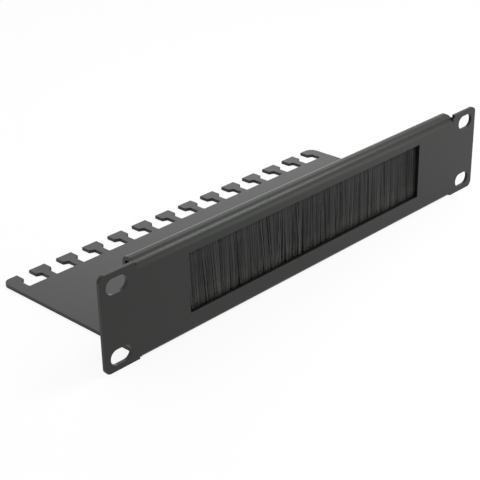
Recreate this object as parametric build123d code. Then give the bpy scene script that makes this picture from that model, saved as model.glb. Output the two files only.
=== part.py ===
from build123d import *
import math
import os

# Brush strip panel for a ten-inch rack, one rack unit high: a folded sheet-steel panel with a brush
# behind its cable window and a lacing tray behind that.
# Seen from the front, X runs to the right, Y to the back and Z up. The origin lies on the front
# face, at the middle of the four rack slots. All sizes are in millimetres.

# Faceplate
panel_width = 254.0
panel_height = 44.0
sheet = 1.6
panel_corner_radius = 3.0

# Rack slots, with their centres this far in from the faceplate's ends and edges
rack_slot_inset = 8.75
rack_slot_rise = 6.125
rack_slot_length = 11.2
rack_slot_width = 7.0

# Ears, and the narrow notches that part them from the folded sheet
ear_width = 18.4
relief_width = 1.1
top_relief_depth = 1.5
bottom_relief_depth = 1.0

# Cable window
window_width = 158.6
window_height = 28.0
window_rise = 0.9

# Channel folded from the top edge, which holds the brush
channel_depth = 8.4
channel_proud = 0.1
channel_slope = 0.4
channel_front_radius = 4.6
channel_rear_radius = 2.4
lip_height = 8.0

# Lacing tray folded from the bottom edge
tray_depth = 94.3
tray_bend_radius = 1.9
tray_corner_radius = 4.5

# Slots that leave T-shaped lacing fingers along the rear edge of the tray
hook_neck_least = 6.0
lacing_pitch = 15.9
pocket_width = 11.9
pocket_depth = 12.6
mouth_width = 6.9
head_side = 5.3
head_shoulder = 1.1
lacing_corner_radius = 0.5

# Brush strip
brush_inset = 10.2
holder_gauge = 0.5
holder_height = 4.9
holder_pinch = 0.6
wire_diameter = 1.6
bristle_overlap = 3.0
bristle_end_depth = 3.6
strand_pitch = 0.95
strand_gap = 0.06
strand_ragged = 0.35
short_sway = 0.5
short_wave = 17.0
long_sway = 0.8
long_wave = 41.0

# Places that follow from the sizes
top_edge = panel_height / 2
bottom_edge = -panel_height / 2
rack_spacing_x = panel_width - 2 * rack_slot_inset
rack_spacing_z = panel_height - 2 * rack_slot_rise
folded_half = panel_width / 2 - ear_width - relief_width
lacing_count = 1 + int((2 * (folded_half - hook_neck_least) - pocket_width) / lacing_pitch)
crest = top_edge + channel_proud
channel_front_top = crest - channel_slope
slope_angle = math.atan2(channel_slope, channel_depth)
channel_bend_start = channel_front_top - channel_front_radius / math.tan(math.pi / 4 + slope_angle / 2)
window_bottom = window_rise - window_height / 2
brush_length = 2 * (folded_half - brush_inset)
brush_y = channel_depth / 2
holder_half = channel_depth / 2 - sheet
holder_under_top = crest - channel_slope / 2 - (sheet + holder_half) / math.cos(slope_angle)
holder_top_centre = min(holder_under_top, channel_bend_start)
holder_bottom = holder_top_centre + holder_half - holder_height
bristle_end = window_bottom - bristle_overlap


def folded_sheet():
    """The sheet between the ears: channel lip and top, face, and tray, in one folded section."""
    outer = FilletPolyline(
        (channel_depth, crest - lip_height),
        (channel_depth, crest),
        (0, channel_front_top),
        (0, bottom_edge),
        (tray_depth, bottom_edge),
        radius=[channel_rear_radius, channel_front_radius, tray_bend_radius],
    )
    section = make_face(offset(outer, amount=sheet, side=Side.LEFT))
    return extrude(Plane.YZ * section, amount=folded_half, both=True)


def relief(edge, depth):
    """The pair of round-ended notches, one beside each ear, that run in from this edge."""
    notch = SlotOverall(2 * depth, relief_width, rotation=90)
    notches = GridLocations(2 * folded_half + relief_width, 0, 2, 1) * notch
    return Pos(0, edge) * Sketch(children=notches)


def face_plate():
    """The flat front with both ears, ending between them where the sheet starts to bend."""
    outline = RectangleRounded(panel_width, panel_height, panel_corner_radius)
    top_bend = top_edge - channel_bend_start
    outline -= Pos(0, top_edge) * Rectangle(2 * folded_half, 2 * top_bend)
    outline -= Pos(0, bottom_edge) * Rectangle(2 * folded_half, 2 * tray_bend_radius)
    outline -= relief(top_edge, top_relief_depth)
    outline -= relief(bottom_edge, bottom_relief_depth)
    return extrude(Plane.XZ * outline, amount=-sheet)


def rack_slots():
    slot = SlotOverall(rack_slot_length, rack_slot_width)
    slots = GridLocations(rack_spacing_x, rack_spacing_z, 2, 2) * slot
    return extrude(Plane.XZ * Sketch(children=slots), amount=-sheet)


def cable_window():
    opening = Pos(0, window_rise) * Rectangle(window_width, window_height)
    return extrude(Plane.XZ * opening, amount=-sheet)


def lacing_slot():
    """One slot from above, with its mouth on the tray's rear edge."""
    pocket_half = pocket_width / 2
    mouth_half = mouth_width / 2
    shoulder = tray_depth - head_side - head_shoulder
    outline = Polyline(
        (-mouth_half, tray_depth),
        (-mouth_half, tray_depth - head_side),
        (-pocket_half, shoulder),
        (-pocket_half, tray_depth - pocket_depth),
        (pocket_half, tray_depth - pocket_depth),
        (pocket_half, shoulder),
        (mouth_half, tray_depth - head_side),
        (mouth_half, tray_depth),
        close=True,
    )
    slot = make_face(outline)
    inside = [corner for corner in slot.vertices() if corner.Y < tray_depth - lacing_corner_radius]
    return fillet(inside, lacing_corner_radius)


def panel():
    """The whole folded sheet, with its window, rack slots and lacing slots."""
    body = folded_sheet() + face_plate() - rack_slots() - cable_window()
    slots = GridLocations(lacing_pitch, 0, lacing_count, 1) * lacing_slot()
    body -= Pos(0, 0, bottom_edge) * extrude(Sketch(children=slots), amount=sheet)
    tray_corners = body.edges().filter_by(Axis.Z).group_by(Axis.Y)[-1].sort_by(Axis.X)
    return fillet([tray_corners[0], tray_corners[-1]], tray_corner_radius)


def holder_section(inset):
    """The crimped strip from the end, drawn this far inside its outer skin."""
    side = holder_half - inset
    waist = side - holder_pinch
    waist_top = (holder_top_centre + holder_bottom) / 2
    edge = Polyline(
        (brush_y - side, holder_top_centre),
        (brush_y - side, waist_top),
        (brush_y - waist, holder_bottom),
        (brush_y + waist, holder_bottom),
        (brush_y + side, waist_top),
        (brush_y + side, holder_top_centre),
    )
    crown = ThreePointArc(edge @ 0, (brush_y, holder_top_centre + side), edge @ 1)
    return make_face([*edge.edges(), crown])


def along_brush(section):
    return extrude(Plane.YZ * section, amount=brush_length / 2, both=True)


def brush_holder():
    return along_brush(holder_section(0) - holder_section(holder_gauge))


def core_wire():
    return along_brush(Pos(brush_y, holder_top_centre) * Circle(wire_diameter / 2))


def strand(x, pitch, closing):
    """One bundle of filaments from the holder's mouth to its free end, leaning as it hangs."""
    lean = short_sway * math.sin(2 * math.pi * x / short_wave)
    lean += long_sway * math.sin(2 * math.pi * x / long_wave)
    end_z = bristle_end + strand_ragged * math.cos(x * x)
    mouth_depth = 2 * (holder_half - holder_gauge - holder_pinch)
    mouth = Pos(x, brush_y, holder_bottom) * Rectangle(pitch - strand_gap, mouth_depth)
    end = Pos(x + lean, brush_y, end_z) * Rectangle(pitch - strand_gap - closing, bristle_end_depth)
    return loft([end, mouth])


def bristles():
    """The filaments: folded over the wire inside the holder, and hanging below it in strands."""
    root = holder_section(holder_gauge) - Pos(brush_y, holder_top_centre) * Circle(wire_diameter / 2)
    count = round(brush_length / strand_pitch)
    pitch = brush_length / count
    closing = 2 * math.pi * pitch * (short_sway / short_wave + long_sway / long_wave)
    places = [(index - (count - 1) / 2) * pitch for index in range(count)]
    return along_brush(root) + [strand(x, pitch, closing) for x in places]


nodes = {
    "panel": panel(),
    "brush_holder": brush_holder(),
    "core_wire": core_wire(),
    "bristles": bristles(),
}
os.makedirs("parts", exist_ok=True)
for name, shape in nodes.items():
    export_step(shape, f"parts/{name}.step")
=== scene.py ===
import math

import bpy
import numpy as np
from mathutils import Matrix, Vector


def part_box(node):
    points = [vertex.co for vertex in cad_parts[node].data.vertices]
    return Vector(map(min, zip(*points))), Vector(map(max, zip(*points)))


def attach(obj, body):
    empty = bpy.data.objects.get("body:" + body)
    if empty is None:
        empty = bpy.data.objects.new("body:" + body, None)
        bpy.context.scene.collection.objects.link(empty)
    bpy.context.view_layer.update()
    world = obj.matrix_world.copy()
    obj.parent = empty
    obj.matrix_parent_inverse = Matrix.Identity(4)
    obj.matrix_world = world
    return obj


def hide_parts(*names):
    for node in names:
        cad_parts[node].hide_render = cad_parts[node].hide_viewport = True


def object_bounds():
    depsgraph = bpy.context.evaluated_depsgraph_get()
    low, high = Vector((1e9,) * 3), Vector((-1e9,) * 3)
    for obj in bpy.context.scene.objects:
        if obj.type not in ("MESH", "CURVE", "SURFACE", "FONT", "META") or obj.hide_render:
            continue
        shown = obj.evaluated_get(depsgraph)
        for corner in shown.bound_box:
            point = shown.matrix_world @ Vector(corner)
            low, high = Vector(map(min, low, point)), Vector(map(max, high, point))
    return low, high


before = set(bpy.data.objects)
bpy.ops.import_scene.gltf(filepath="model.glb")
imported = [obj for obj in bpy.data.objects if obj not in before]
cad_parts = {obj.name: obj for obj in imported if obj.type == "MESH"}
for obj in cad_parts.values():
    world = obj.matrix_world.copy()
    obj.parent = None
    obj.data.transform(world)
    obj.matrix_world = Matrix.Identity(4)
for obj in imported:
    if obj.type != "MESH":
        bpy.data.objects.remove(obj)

cad_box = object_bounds()

# Panel: one sheet of 1.6 mm steel, laser cut, folded into a faceplate, a channel along its top edge and a
# lacing tray, and coated all over with fine satin black powder. The coat rounds every cut edge a little and
# leaves a faint orange-peel skin.
coat_black = (0.0038, 0.0046, 0.0040, 1)
coat_black_light = (0.0062, 0.0073, 0.0064, 1)
coat_roughness, coat_roughness_spread = 0.40, 0.06
coat_sheen = (0.965, 1.0, 0.945, 1)
coat_edge_radius = 0.0003
coat_drift_per_metre = 55
orange_peel_per_metre = 1300
powder_grain_per_metre = 5200
drift_share = 0.6
peel_share = 0.75
peel_height = 0.000018


class Signal:
    """One output of a shader node. Sums, differences and products with it add Math nodes."""

    def __init__(self, finish, socket):
        self.finish, self.socket = finish, socket

    def math(self, operation, first, second):
        return self.finish.node("ShaderNodeMath", {"operation": operation}, {0: first, 1: second})

    def __add__(self, other):
        return self.math("ADD", self, other)

    def __sub__(self, other):
        return self.math("SUBTRACT", self, other)

    def __rsub__(self, other):
        return self.math("SUBTRACT", other, self)

    def __mul__(self, other):
        return self.math("MULTIPLY", self, other)

    def or_more(self, other):
        return self.math("MAXIMUM", self, other)

    __radd__ = __add__
    __rmul__ = __mul__


class Finish:
    """A node tree of a material or the world, built up one node at a time."""

    def __init__(self, owner):
        owner.use_nodes = True
        self.owner, self.tree = owner, owner.node_tree
        self.tree.nodes.clear()

    def node(self, kind, settings=None, inputs=None, output=0):
        made = self.tree.nodes.new(kind)
        for name, value in (settings or {}).items():
            setattr(made, name, value)
        for name, value in (inputs or {}).items():
            if isinstance(value, Signal):
                self.tree.links.new(value.socket, made.inputs[name])
            else:
                made.inputs[name].default_value = value
        return Signal(self, made.outputs[output]) if made.outputs else None

    def noise(self, place, per_metre, detail=2):
        return self.node("ShaderNodeTexNoise", None, {"Vector": place, "Scale": per_metre, "Detail": detail})

    def blend(self, factor, first, second):
        """A Mix node between two colours, whose colour sockets are its numbers 6 and 7."""
        sockets = {"Factor": factor, 6: first, 7: second}
        return self.node("ShaderNodeMix", {"data_type": "RGBA"}, sockets, output=2)


def powder_coat():
    coat = Finish(bpy.data.materials.new("powder_coat"))
    place = coat.node("ShaderNodeTexCoord", output="Object")
    peel = coat.noise(place, orange_peel_per_metre)
    grain = coat.noise(place, powder_grain_per_metre, detail=1)
    drift = coat.noise(place, coat_drift_per_metre, detail=3)
    tone = drift * drift_share + grain * (1 - drift_share)
    skin = coat.node("ShaderNodeBump", None, {
        "Strength": 0.5,
        "Distance": peel_height,
        "Height": peel * peel_share + grain * (1 - peel_share),
        "Normal": coat.node("ShaderNodeBevel", {"samples": 6}, {"Radius": coat_edge_radius}),
    })
    surface = coat.node("ShaderNodeBsdfPrincipled", None, {
        "Base Color": coat.blend(tone, coat_black, coat_black_light),
        "Roughness": coat_roughness + (peel - 0.5) * coat_roughness_spread,
        "IOR": 1.5,
        "Specular Tint": coat_sheen,
        "Normal": skin,
    })
    coat.node("ShaderNodeOutputMaterial", None, {"Surface": surface})
    return coat.owner


def dress(piece, material):
    """Give the piece this material alone."""
    piece.data.materials.clear()
    piece.data.materials.append(material)


dress(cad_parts["panel"], powder_coat())

# Brush holder: a strip of galvanised steel, crimped over the folded filaments along the whole brush and
# pushed up into the channel, where the panel hides it but for its ends.
zinc_bright = (0.56, 0.57, 0.58, 1)
zinc_dull = (0.38, 0.39, 0.41, 1)
zinc_roughness, zinc_roughness_gain = 0.34, 0.16
spangle_per_metre = 420
spangle_height = 0.00002
spangle_share = 0.6
cloud_per_metre = 90


def galvanised():
    zinc = Finish(bpy.data.materials.new("galvanised_strip"))
    place = zinc.node("ShaderNodeTexCoord", output="Object")
    crystals = {"Vector": place, "Scale": spangle_per_metre}
    spangle = zinc.node("ShaderNodeTexVoronoi", None, crystals, output="Color")
    shade = zinc.node("ShaderNodeSeparateColor", None, {"Color": spangle})
    cloud = zinc.noise(place, cloud_per_metre, detail=4)
    tone = shade * spangle_share + cloud * (1 - spangle_share)
    bump = zinc.node("ShaderNodeBump", None, {"Strength": 0.2, "Distance": spangle_height, "Height": shade})
    surface = zinc.node("ShaderNodeBsdfPrincipled", None, {
        "Base Color": zinc.blend(tone, zinc_dull, zinc_bright),
        "Metallic": 1.0,
        "Roughness": zinc_roughness + cloud * zinc_roughness_gain,
        "Normal": bump,
    })
    zinc.node("ShaderNodeOutputMaterial", None, {"Surface": surface})
    return zinc.owner


dress(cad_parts["brush_holder"], galvanised())

# Core wire: drawn steel wire along the middle of the holder, which the filaments are folded over. Drawing
# leaves fine lines along it.
wire_grey = (0.42, 0.41, 0.40, 1)
wire_dark = (0.25, 0.24, 0.24, 1)
wire_roughness, wire_roughness_gain = 0.28, 0.15
line_height = 0.00001
lines_per_metre = 6000
line_breaks_per_metre = 30


def drawn_wire():
    wire = Finish(bpy.data.materials.new("drawn_wire"))
    place = wire.node("ShaderNodeTexCoord", output="Object")
    stretch = (line_breaks_per_metre, lines_per_metre, lines_per_metre)
    along = wire.node("ShaderNodeMapping", None, {"Vector": place, "Scale": stretch})
    lines = wire.noise(along, per_metre=1)
    bump = wire.node("ShaderNodeBump", None, {"Strength": 0.3, "Distance": line_height, "Height": lines})
    surface = wire.node("ShaderNodeBsdfPrincipled", None, {
        "Base Color": wire.blend(lines, wire_dark, wire_grey),
        "Metallic": 1.0,
        "Roughness": wire_roughness + lines * wire_roughness_gain,
        "Normal": bump,
    })
    wire.node("ShaderNodeOutputMaterial", None, {"Surface": surface})
    return wire.owner


dress(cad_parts["core_wire"], drawn_wire())

# Bristles: several thousand black nylon filaments that hang from the holder's mouth behind the cable window.
# In front and behind they cling in tufts that lean and cross, so that dark gaps open here and there, and
# between these hangs a straight, close curtain. Tips and roots are painted greyer: painted light against the
# shade that falls on the brush at the window's bottom edge and under its top edge.
nylon_black = (0.018, 0.0182, 0.018, 1)
# The grey end of the nylon blend serves the filaments' random tone and the painted light at tips and roots.
nylon_grey_and_lit = (0.165, 0.1655, 0.160, 1)
nylon_roughness, tone_roughness_gain = 0.50, 0.12
brush_seed = 8
filament_radius = 0.00012
filament_sides = 3
filament_rings = (0.30, 0.66, 1.0)
tip_taper = 0.8
filament_pitch = 0.00024
filament_rows, layer_rows, curtain_layer = 9, 3, 1
mouth_spread = 0.0023
mouth_rise = 0.0015
tuft_least, tuft_most = 0.00035, 0.0011
tuft_blur = 0.25
tuft_closing = 0.3
tuft_depth = 0.00012
gather_curve = 0.5
parting_share = 0.09
parting_width = 0.0004
lean_spread = 0.0003
lean_curve = 1.2
loose_lean = 0.00018
crossing_spread = 0.0008
crossing_middle, crossing_reach = -0.008, 0.030
left_lean, left_lean_reach = 0.0010, 0.050
short_sway, short_wave = 0.0005, 0.017
long_sway, long_wave = 0.0008, 0.041
ragged_ends = 0.00035
tone_middle, tone_spread = 0.13, 0.05
# Painted light: the tips and the roots are made greyer to lighten the shade at the window's bottom and top
# edges.
tip_painted_light, tip_light_curve = 0.8, 5
root_painted_light, root_light_curve = 0.28, 6
brush_low, brush_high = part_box("bristles")
holder_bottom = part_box("brush_holder")[0].z
brush_middle = (brush_low.y + brush_high.y) / 2
brush_half = brush_high.x - long_sway - lean_spread
end_spread = brush_high.y - brush_low.y - 2 * filament_radius


def nylon():
    thread = Finish(bpy.data.materials.new("nylon_filament"))
    # The tone attribute carries the random tone and the painted light at tips and roots.
    tone = thread.node("ShaderNodeAttribute", {"attribute_name": "tone"}, output="Fac")
    surface = thread.node("ShaderNodeBsdfPrincipled", None, {
        "Base Color": thread.blend(tone, nylon_black, nylon_grey_and_lit),
        "Roughness": nylon_roughness + tone * tone_roughness_gain,
        "IOR": 1.33,
    })
    thread.node("ShaderNodeOutputMaterial", None, {"Surface": surface})
    return thread.owner


def one_filament(length):
    """A three-sided tube, closed at both ends, that hangs from the origin and narrows at its tip."""
    bpy.ops.object.select_all(action="DESELECT")
    bpy.ops.mesh.primitive_circle_add(vertices=filament_sides, radius=filament_radius, fill_type="NGON")
    bpy.ops.object.mode_set(mode="EDIT")
    bpy.ops.mesh.select_mode(type="FACE")
    bpy.ops.mesh.select_all(action="SELECT")
    reached = 0
    for share in filament_rings:
        drop = (0, 0, -(share - reached) * length)
        bpy.ops.mesh.extrude_region_move(TRANSFORM_OT_translate={"value": drop})
        reached = share
    bpy.ops.transform.resize(value=(tip_taper, tip_taper, 1))
    bpy.ops.mesh.select_all(action="SELECT")
    bpy.ops.mesh.normals_make_consistent(inside=False)
    bpy.ops.object.mode_set(mode="OBJECT")
    return bpy.context.object


def root_places(draw):
    """The x, y and layer of each filament in the mouth, and the x at which each tuft starts."""
    columns = np.arange(-brush_half, brush_half, filament_pitch)
    x, row = (grid.ravel() for grid in np.meshgrid(columns, np.arange(filament_rows)))
    y = (row / (filament_rows - 1) - 0.5) * mouth_spread
    layer = row // layer_rows
    loose = layer != curtain_layer
    # A layer's rows are staggered to close each other's gaps, and the loose layers are scattered as well
    x = x + (row % layer_rows / layer_rows + draw.uniform(-0.5, 0.5, x.size) * loose) * filament_pitch

    starts = [-brush_half - tuft_most]
    while starts[-1] < brush_half:
        starts.append(starts[-1] + draw.uniform(tuft_least, tuft_most))
    # Only the loose layers part, where one tuft ends and the next starts
    parted = np.array([start for start in starts if draw.uniform() < parting_share])
    in_parting = np.abs(x[:, None] - parted).min(axis=1) < parting_width / 2
    kept = ~(in_parting & loose)
    return x[kept], y[kept], layer[kept], starts


def tuft_numbers(draw, x, layer, starts):
    """The tuft that each filament clings to, where one near a tuft's edge may cling to the next."""
    blurred = x + draw.uniform(-tuft_blur, tuft_blur, x.size) * tuft_least
    return np.searchsorted(starts, blurred) + layer * (len(starts) + 1)


def end_moves(draw, x, y, loose, tuft):
    """How far each free end lies from its root: towards its tuft's middle, by its lean, and in depth."""
    tufts = tuft.max() + 1
    tuft_x = np.bincount(tuft, weights=x) / np.maximum(np.bincount(tuft), 1)
    closing = (tuft_x[tuft] - x) * draw.uniform(0, tuft_closing, tufts)[tuft] * loose
    crossing = crossing_spread * np.exp(-((tuft_x - crossing_middle) / crossing_reach) ** 2)
    lean = (draw.normal(0, 1, tufts) * (lean_spread + crossing))[tuft] + draw.normal(0, loose_lean, x.size)
    lean = lean * loose + left_lean * np.clip(-x / left_lean_reach, 0, 1)
    lean += short_sway * np.sin(2 * math.pi * x / short_wave)
    lean += long_sway * np.sin(2 * math.pi * x / long_wave)
    depth = y * (end_spread / mouth_spread - 1) + draw.normal(0, tuft_depth, tufts)[tuft]
    depth = np.clip(depth, -end_spread / 2 - y, end_spread / 2 - y)
    return closing, lean, depth


def brush():
    """Every hanging filament, copied from one, each with its own place, lean, length and tone."""
    draw = np.random.default_rng(brush_seed)
    mouth = holder_bottom + mouth_rise
    length = mouth - brush_low.z - ragged_ends
    pattern = one_filament(length)
    corners = np.array([corner.co for corner in pattern.data.vertices])
    faces = [tuple(face.vertices) for face in pattern.data.polygons]
    bpy.data.objects.remove(pattern)

    x, y, layer, starts = root_places(draw)
    tuft = tuft_numbers(draw, x, layer, starts)
    closing, lean, depth = end_moves(draw, x, y, layer != curtain_layer, tuft)
    size = 1 + draw.normal(0, ragged_ends / 2 / length, x.size)
    tuft_tone = draw.normal(0, 1, tuft.max() + 1)[tuft]
    tone = tone_middle + tone_spread * (tuft_tone + draw.normal(0, 1, x.size))

    share = -corners[:, 2] / length
    gathered, leaning = share ** gather_curve, share ** lean_curve
    points = np.empty((x.size, len(corners), 3))
    points[:, :, 0] = x[:, None] + corners[:, 0] + closing[:, None] * gathered + lean[:, None] * leaning
    points[:, :, 1] = brush_middle + y[:, None] + corners[:, 1] + depth[:, None] * gathered
    points[:, :, 2] = mouth + corners[:, 2] * size[:, None]
    firsts = range(0, x.size * len(corners), len(corners))
    all_faces = [[first + corner for corner in face] for first in firsts for face in faces]
    mesh = bpy.data.meshes.new("bristle_filaments")
    mesh.from_pydata(points.reshape(-1, 3).tolist(), [], all_faces)
    mesh.shade_smooth()

    # Each filament's random tone, plus painted light that lightens its tip and its root where shade falls.
    tone_and_painted_light = tone[:, None] + tip_painted_light * share ** tip_light_curve + root_painted_light * (1 - share) ** root_light_curve
    attribute = mesh.attributes.new("tone", "FLOAT", "POINT")
    attribute.data.foreach_set("value", np.clip(tone_and_painted_light, 0, 1).ravel().astype(np.float32))
    piece = bpy.data.objects.new("bristle_filaments", mesh)
    bpy.context.collection.objects.link(piece)
    return piece


filaments = brush()
black_nylon = nylon()
dress(filaments, black_nylon)
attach(filaments, "root")
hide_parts("bristles")

# Bristle fold: the turn that each filament takes over the core wire inside the holder, up one side and down
# the other. The turns show only at the brush's two ends, so the last few layers at each end are made.
fold_layers = 3
fold_turns = 5
fold_steps = 8
fold_sides = 5
fold_clearance = 0.00002
merge_distance = fold_clearance / 4
# The folds take the middle tone plus the same painted light as the roots.
fold_tone_and_light = tone_middle + root_painted_light
wire_low, wire_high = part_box("core_wire")
wire_z = (wire_low.z + wire_high.z) / 2
first_reach = (wire_high.z - wire_low.z) / 2 + filament_radius + fold_clearance
reach_step = 2 * filament_radius + fold_clearance
last_reach = first_reach + (fold_turns - 1) * reach_step


def folded_filament(reach):
    """One filament in the plane X = 0, turned over the wire this far from its middle, with pinched legs."""
    bpy.ops.object.select_all(action="DESELECT")
    bpy.ops.mesh.primitive_circle_add(vertices=fold_sides, radius=filament_radius, fill_type="NGON")
    turn = bpy.context.object
    middle = (0, brush_middle, wire_z)
    bpy.ops.object.mode_set(mode="EDIT")
    bpy.ops.mesh.select_mode(type="FACE")
    bpy.ops.mesh.select_all(action="SELECT")
    bpy.ops.transform.translate(value=(0, brush_middle - reach, wire_z))
    bpy.ops.mesh.spin(steps=fold_steps, angle=math.pi, center=middle, axis=(1, 0, 0))
    bpy.ops.object.mode_set(mode="OBJECT")
    for face in turn.data.polygons:
        face.select = len(face.vertices) == fold_sides
    bpy.ops.object.mode_set(mode="EDIT")
    leg = mouth_rise + holder_bottom - wire_z - filament_radius
    bpy.ops.mesh.extrude_region_move(TRANSFORM_OT_translate={"value": (0, 0, leg)})
    pinch = mouth_spread / 2 / last_reach
    bpy.ops.transform.resize(value=(1, pinch, 1), center_override=middle)
    bpy.ops.mesh.select_all(action="SELECT")
    bpy.ops.mesh.remove_doubles(threshold=merge_distance)
    bpy.ops.mesh.normals_make_consistent(inside=False)
    bpy.ops.mesh.faces_shade_smooth()
    bpy.ops.object.mode_set(mode="OBJECT")
    return turn


def brush_ends():
    """The nested turns of the last layers at both ends, as one piece."""
    nest = [folded_filament(first_reach + turn * reach_step) for turn in range(fold_turns)]
    copies = []
    for side in (-1, 1):
        for layer in range(fold_layers):
            x = side * (brush_high.x - filament_radius - layer * reach_step)
            for turn in nest:
                copy = bpy.data.objects.new("fold_copy", turn.data.copy())
                copy.data.transform(Matrix.Translation((x, 0, 0)))
                bpy.context.collection.objects.link(copy)
                copies.append(copy)
    for turn in nest:
        bpy.data.objects.remove(turn)
    bpy.ops.object.select_all(action="DESELECT")
    for copy in copies:
        copy.select_set(True)
    bpy.context.view_layer.objects.active = copies[0]
    bpy.ops.object.join()
    joined = bpy.context.object
    joined.name = "bristle_folds"
    attribute = joined.data.attributes.new("tone", "FLOAT", "POINT")
    attribute.data.foreach_set("value", np.full(len(joined.data.vertices), fold_tone_and_light, np.float32))
    return joined


folds = brush_ends()
dress(folds, black_nylon)
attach(folds, "root")
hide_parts("bristles")

# Studio: white paper under the panel in an even pale room, with two small soft lamps close by at the front
# right, one high and one low, and a large one far behind. To the camera the paper is white and keeps a faint
# shadow of the panel.
plain_white = (1, 1, 1, 1)
paper_white = (0.85, 0.85, 0.85, 1)
paper_glow = 0.92
camera_glow = 1.06
glow_to_camera = 0.80
glow_in_mirrors = 0.60
floor_size = 8
room_level = 0.70
room_in_mirrors = 0.15


def ray(finish, kind):
    """One where this kind of ray arrives, and nought elsewhere."""
    return finish.node("ShaderNodeLightPath", output=kind)


def white_share(finish, to_camera, in_mirrors):
    """How much of the plain white is seen: by the camera itself, and in mirrors or through glass."""
    mirrored = ray(finish, "Is Glossy Ray").or_more(ray(finish, "Is Transmission Ray"))
    return (ray(finish, "Is Camera Ray") * to_camera).or_more(mirrored * in_mirrors)


def paper():
    finish = Finish(bpy.data.materials.new("studio_paper"))
    glow = paper_glow + ray(finish, "Is Camera Ray") * (camera_glow - paper_glow)
    white = finish.node("ShaderNodeEmission", None, {"Color": plain_white, "Strength": glow})
    lit = finish.node("ShaderNodeBsdfDiffuse", None, {"Color": paper_white})
    share = white_share(finish, glow_to_camera, glow_in_mirrors)
    mixed = finish.node("ShaderNodeMixShader", None, {"Fac": share, 1: lit, 2: white})
    finish.node("ShaderNodeOutputMaterial", None, {"Surface": mixed})
    return finish.owner


def pale_room():
    room = Finish(bpy.data.worlds.new("studio_world"))
    share = white_share(room, to_camera=1, in_mirrors=room_in_mirrors)
    level = room_level + share * (1 - room_level)
    background = room.node("ShaderNodeBackground", None, {"Color": plain_white, "Strength": level})
    room.node("ShaderNodeOutputWorld", None, {"Surface": background})
    return room.owner


def lamp(name, turn, pitch, distance, size, power):
    """A square soft lamp that faces the panel. Its turn is measured from straight back to the right."""
    turn, pitch = math.radians(turn), math.radians(pitch)
    away = Vector((math.sin(turn) * math.cos(pitch), math.cos(turn) * math.cos(pitch), math.sin(pitch)))
    aimed = away.to_track_quat("Z", "Y").to_euler()
    bpy.ops.object.light_add(type="AREA", location=away * distance, rotation=aimed)
    light = bpy.context.object
    light.name = name
    light.data.shape = "SQUARE"
    light.data.size = size
    light.data.energy = power
    light.visible_camera = False


bpy.ops.object.select_all(action="DESELECT")
bpy.ops.mesh.primitive_plane_add(size=floor_size, location=(0, 0, cad_box[0][2]))
floor = bpy.context.object
floor.name = "studio_floor"
dress(floor, paper())
bpy.context.scene.world = pale_room()
lamp("right_softbox", turn=110, pitch=55, distance=0.515, size=0.16, power=0.80)
lamp("front_softbox", turn=138, pitch=12, distance=0.42, size=0.22, power=0.27)
lamp("back_softbox", turn=42, pitch=12, distance=4.0, size=1.8, power=16)

# Camera: above and to the left of the panel's front, rolled a little about its own axis, as in the reference
# view. The lens goes with a sensor 36 mm wide.
camera_turn = math.radians(-46.03)
camera_pitch = math.radians(26.02)
camera_roll = math.radians(1.106)
camera_distance = 0.5626
camera_aim = Vector((-0.02573, 0.02248, -0.00595))
camera_lens = 92.80
camera_sensor = 36

bpy.ops.object.camera_add()
camera = bpy.context.object
camera.data.lens = camera_lens
camera.data.sensor_width = camera_sensor
facing = Matrix.Rotation(camera_turn, 4, "Z") @ Matrix.Rotation(math.pi / 2 - camera_pitch, 4, "X")
facing = facing @ Matrix.Rotation(-camera_roll, 4, "Z")
camera.matrix_world = Matrix.Translation(camera_aim) @ facing @ Matrix.Translation((0, 0, camera_distance))
bpy.context.scene.camera = camera
bpy.context.scene.view_settings.view_transform = "Standard"
